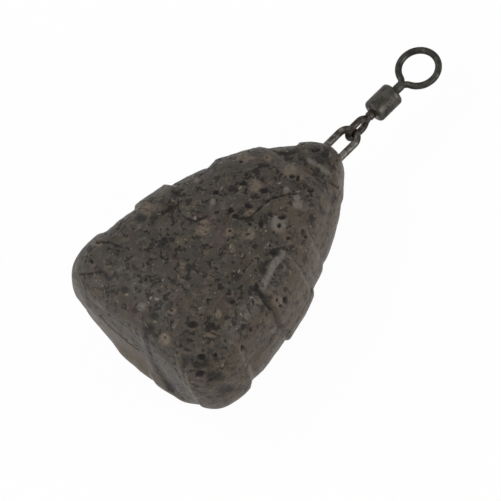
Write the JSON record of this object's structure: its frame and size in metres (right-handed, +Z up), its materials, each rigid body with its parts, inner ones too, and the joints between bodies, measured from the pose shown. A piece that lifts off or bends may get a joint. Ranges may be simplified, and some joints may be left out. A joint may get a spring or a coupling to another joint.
{
  "type": "fishing sinker",
  "caption": "Stone-shaped coated lead sinker with a wire loop cast in its nose and a rolling swivel linked through it, ending in a large line ring.",
  "frame": {"origin": "on the ground, under the middle of the whole sinker as it lies on its flat back", "axes": "+Y from the base to the nose and on along the swivel, +Z up through the face, +X to the right seen from above with the nose ahead"},
  "size_m": [0.0271, 0.0548, 0.0182],
  "materials": {
    "cast_lead": "dull grey cast lead",
    "stone_coat": "matt mottled grey-brown stone finish",
    "loop_wire": "tarnished dark wire",
    "swivel_wire": "darkened wire, satin",
    "swivel_barrel": "darkened rolled tube, satin"
  },
  "bodies": {
    "lead": {"lead_core": "cast_lead", "moulded_coat": "stone_coat", "cast_in_loop": "loop_wire"},
    "small_eye": {"small_eye": "swivel_wire"},
    "barrel": {"swivel_barrel": "swivel_barrel"},
    "large_ring": {"large_ring": "swivel_wire"}
  },
  "joints": [
    {"name": "eye_swing", "type": "hinge", "parent": "lead", "child": "small_eye", "pos_m": [-0.0002, 0.01286, 0.00689], "axis": [1, 0, 0], "range_deg": [-125, 125]},
    {"name": "barrel_spin", "type": "hinge", "parent": "small_eye", "child": "barrel", "pos_m": [-0.0002, 0.01812, 0.00647], "axis": [0, 0.9969, -0.0792], "continuous": true},
    {"name": "ring_spin", "type": "hinge", "parent": "barrel", "child": "large_ring", "pos_m": [-0.0002, 0.0244, 0.00597], "axis": [0, 0.9969, -0.0792], "continuous": true}
  ]
}
